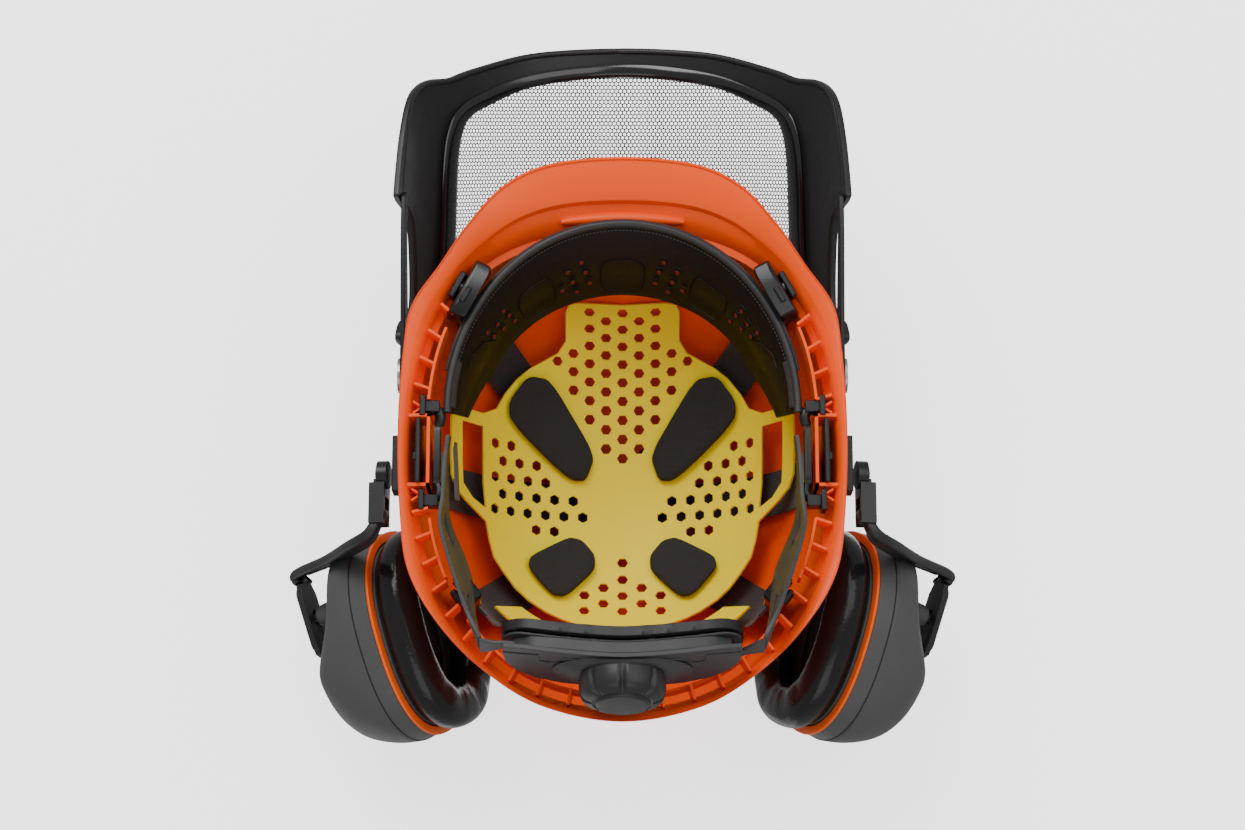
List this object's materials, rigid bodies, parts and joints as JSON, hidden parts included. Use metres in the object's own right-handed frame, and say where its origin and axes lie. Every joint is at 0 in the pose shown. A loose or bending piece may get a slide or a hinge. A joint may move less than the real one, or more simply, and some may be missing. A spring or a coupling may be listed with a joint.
{
  "type": "forestry hard hat",
  "caption": "Hard hat with a raised mesh visor, parked ear muffs, a ratchet head harness and a low-friction liner.",
  "frame": {"origin": "middle of the head ring at the level of the shell's side rim", "axes": "+Z towards the crown, -Y towards the peak, +X towards the wearer's left"},
  "size_m": [0.355, 0.3885, 0.2068],
  "materials": {
    "shell_plastic": "smooth injection-moulded high-density plastic with a soft gloss",
    "clip_plastic": "black moulded plastic, fine texture",
    "webbing": "black ribbed textile webbing",
    "harness_plastic": "dark grey flexible moulded plastic",
    "knob_plastic": "black grip plastic",
    "sweatband_leather": "black perforated leather over foam",
    "liner_plastic": "yellow low-friction sheet plastic",
    "pad_foam": "black closed-cell foam with a brushed face",
    "label": "plain grey printed strip, no text",
    "steel_pins": "turned steel",
    "visor_plastic": "black moulded plastic",
    "mesh_steel": "etched steel sheet with hexagonal holes",
    "arm_plastic": "black glass-filled plastic",
    "cup_plastic": "dark grey moulded plastic",
    "cup_foam": "dark acoustic foam",
    "trim_plastic": "orange moulded plastic",
    "cushion_vinyl": "glossy black soft vinyl over foam"
  },
  "bodies": {
    "helmet": {"shell": "shell_plastic", "front_clips": "clip_plastic", "side_upper_clips": "clip_plastic", "side_lower_clips": "clip_plastic", "rear_clips": "clip_plastic", "side_hangers": "clip_plastic", "diagonal_strap_left": "webbing", "diagonal_strap_right": "webbing", "lateral_strap": "webbing", "headband": "harness_plastic", "sweatband": "sweatband_leather", "liner": "liner_plastic", "front_left_pad": "pad_foam", "front_right_pad": "pad_foam", "rear_left_pad": "pad_foam", "rear_right_pad": "pad_foam", "label_strip": "label", "liner_anchors": "clip_plastic", "nape_housing": "harness_plastic", "nape_cover": "harness_plastic", "nape_pad": "pad_foam", "visor_pins": "steel_pins", "left_socket_blade": "clip_plastic", "right_socket_blade": "clip_plastic"},
    "knob_spindle": {"knob": "knob_plastic", "pinion": "harness_plastic"},
    "left_strap": {"left_side_strap": "harness_plastic"},
    "right_strap": {"right_side_strap": "harness_plastic"},
    "visor": {"visor_arms": "visor_plastic", "visor_frame": "visor_plastic", "visor_mesh": "mesh_steel", "visor_retainer": "visor_plastic"},
    "left_swivel": {"left_hinge_block": "clip_plastic", "left_flip_pin": "steel_pins"},
    "left_arm": {"left_arm": "arm_plastic", "left_slider_plate": "arm_plastic"},
    "left_stud": {"left_stud": "arm_plastic"},
    "left_muff": {"left_cup": "cup_plastic", "left_cup_foam": "cup_foam", "left_backplate": "cup_plastic", "left_trim_ring": "trim_plastic", "left_cushion": "cushion_vinyl"},
    "right_swivel": {"right_hinge_block": "clip_plastic", "right_flip_pin": "steel_pins"},
    "right_arm": {"right_arm": "arm_plastic", "right_slider_plate": "arm_plastic"},
    "right_stud": {"right_stud": "arm_plastic"},
    "right_muff": {"right_cup": "cup_plastic", "right_cup_foam": "cup_foam", "right_backplate": "cup_plastic", "right_trim_ring": "trim_plastic", "right_cushion": "cushion_vinyl"}
  },
  "joints": [
    {"name": "left_muff_swing", "type": "hinge", "parent": "helmet", "child": "left_swivel", "pos_m": [-0.119, 0.02, 0.014], "axis": [-0.9889, 0, 0.1483], "range_deg": [0, 125]},
    {"name": "left_arm_flip", "type": "hinge", "parent": "left_swivel", "child": "left_arm", "pos_m": [-0.12394, 0.0415, 0.01474], "axis": [0.1483, 0, 0.9889], "range_deg": [0, 30]},
    {"name": "left_cup_height", "type": "slide", "parent": "left_arm", "child": "left_stud", "axis": [0.2901, 0.9284, 0.2321], "range_m": [-0.002, 0.011]},
    {"name": "left_cup_turn", "type": "hinge", "parent": "left_stud", "child": "left_muff", "pos_m": [-0.16218, 0.07765, 0.10333], "axis": [-0.8851, 0.168, 0.434], "range_deg": [-5, 5]},
    {"name": "right_muff_swing", "type": "hinge", "parent": "helmet", "child": "right_swivel", "pos_m": [0.119, 0.02, 0.014], "axis": [-0.9889, 0, -0.1483], "range_deg": [0, 125]},
    {"name": "right_arm_flip", "type": "hinge", "parent": "right_swivel", "child": "right_arm", "pos_m": [0.12394, 0.0415, 0.01474], "axis": [0.1483, 0, -0.9889], "range_deg": [0, 30]},
    {"name": "right_cup_height", "type": "slide", "parent": "right_arm", "child": "right_stud", "axis": [-0.2901, 0.9284, 0.2321], "range_m": [-0.002, 0.011]},
    {"name": "right_cup_turn", "type": "hinge", "parent": "right_stud", "child": "right_muff", "pos_m": [0.16218, 0.07765, 0.10333], "axis": [-0.8851, -0.168, -0.434], "range_deg": [-5, 5]},
    {"name": "visor_hinge", "type": "hinge", "parent": "helmet", "child": "visor", "pos_m": [0, -0.036, 0.028], "axis": [1, 0, 0], "range_deg": [-14, 60]},
    {"name": "knob_turn", "type": "hinge", "parent": "helmet", "child": "knob_spindle", "pos_m": [0, 0.128, -0.033], "axis": [0, 0.9744, -0.225], "range_deg": [0, 100]},
    {"name": "left_strap_slide", "type": "slide", "parent": "helmet", "child": "left_strap", "axis": [1, 0, 0], "range_m": [0, 0.008]},
    {"name": "right_strap_slide", "type": "slide", "parent": "helmet", "child": "right_strap", "axis": [-1, 0, 0], "range_m": [0, 0.008]}
  ],
  "couplings": [
    {"joint": "left_strap_slide", "follows": "knob_turn", "m_per_rad": 0.0045},
    {"joint": "right_strap_slide", "follows": "knob_turn", "m_per_rad": 0.0045}
  ]
}
